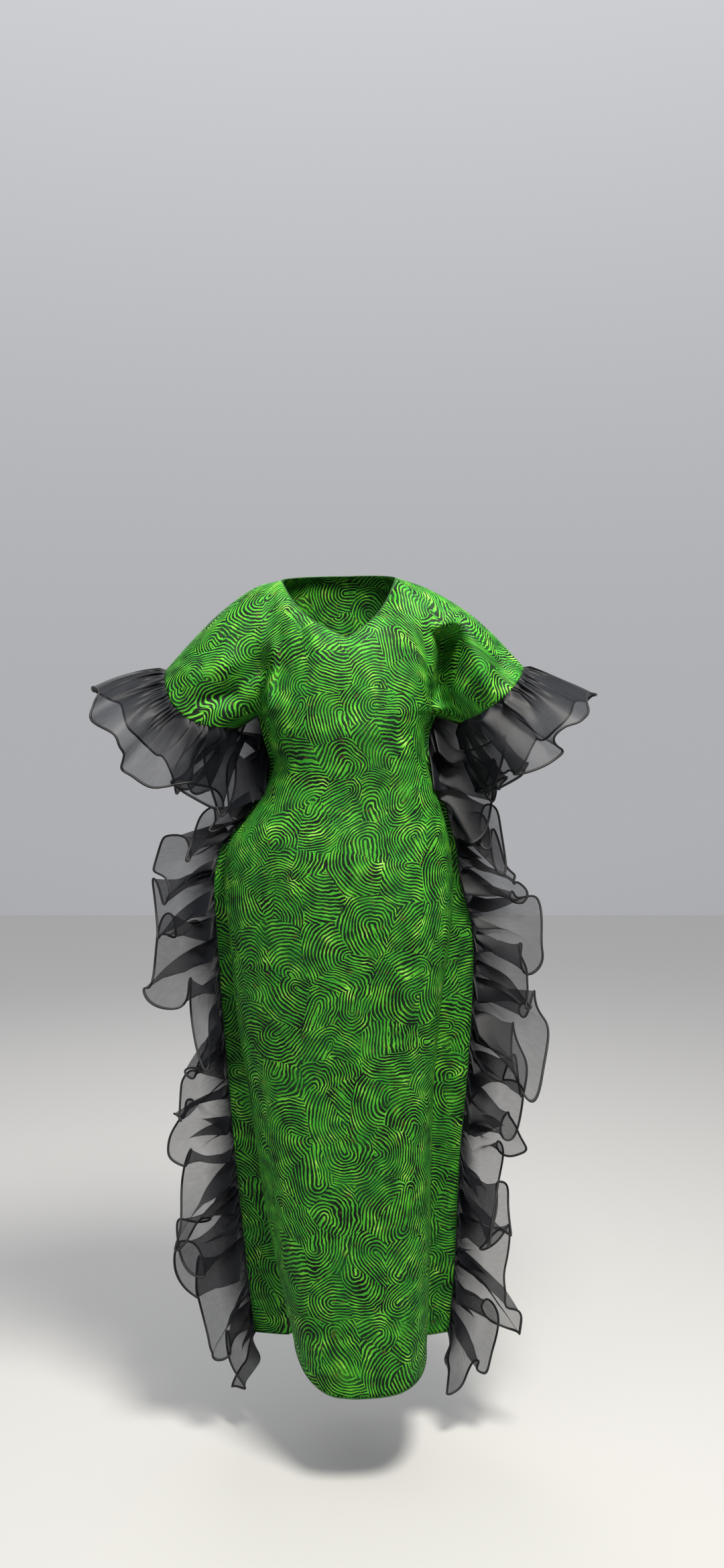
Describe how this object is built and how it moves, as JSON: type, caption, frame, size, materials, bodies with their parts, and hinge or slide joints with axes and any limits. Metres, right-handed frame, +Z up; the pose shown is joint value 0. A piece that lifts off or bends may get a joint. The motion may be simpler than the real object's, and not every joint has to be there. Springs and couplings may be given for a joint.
{
  "type": "kaftan dress with organza ruffles",
  "caption": "Long V-neck kaftan dress with short kimono sleeves and gathered sheer ruffles round the cuffs and down both sides, held up at the shoulders.",
  "frame": {"origin": "level with the side-neck points, midway between the upper corners of the two cuffs, in the plane of the shoulder seams", "axes": "+Z up, the front of the dress faces -Y, +X is the viewer's right"},
  "size_m": [0.8904, 0.3377, 1.4197],
  "materials": {
    "printed_cotton": "matt plain-weave cotton printed with whorls of dark lines on bright green",
    "organza": "sheer crisp black organza with a rolled outer hem"
  },
  "bodies": {
    "root": {"front_panel": "printed_cotton", "back_panel": "printed_cotton", "sleeve_ruffle_left": "organza", "sleeve_ruffle_right": "organza", "side_ruffle_left": "organza", "side_ruffle_right": "organza"}
  },
  "joints": []
}
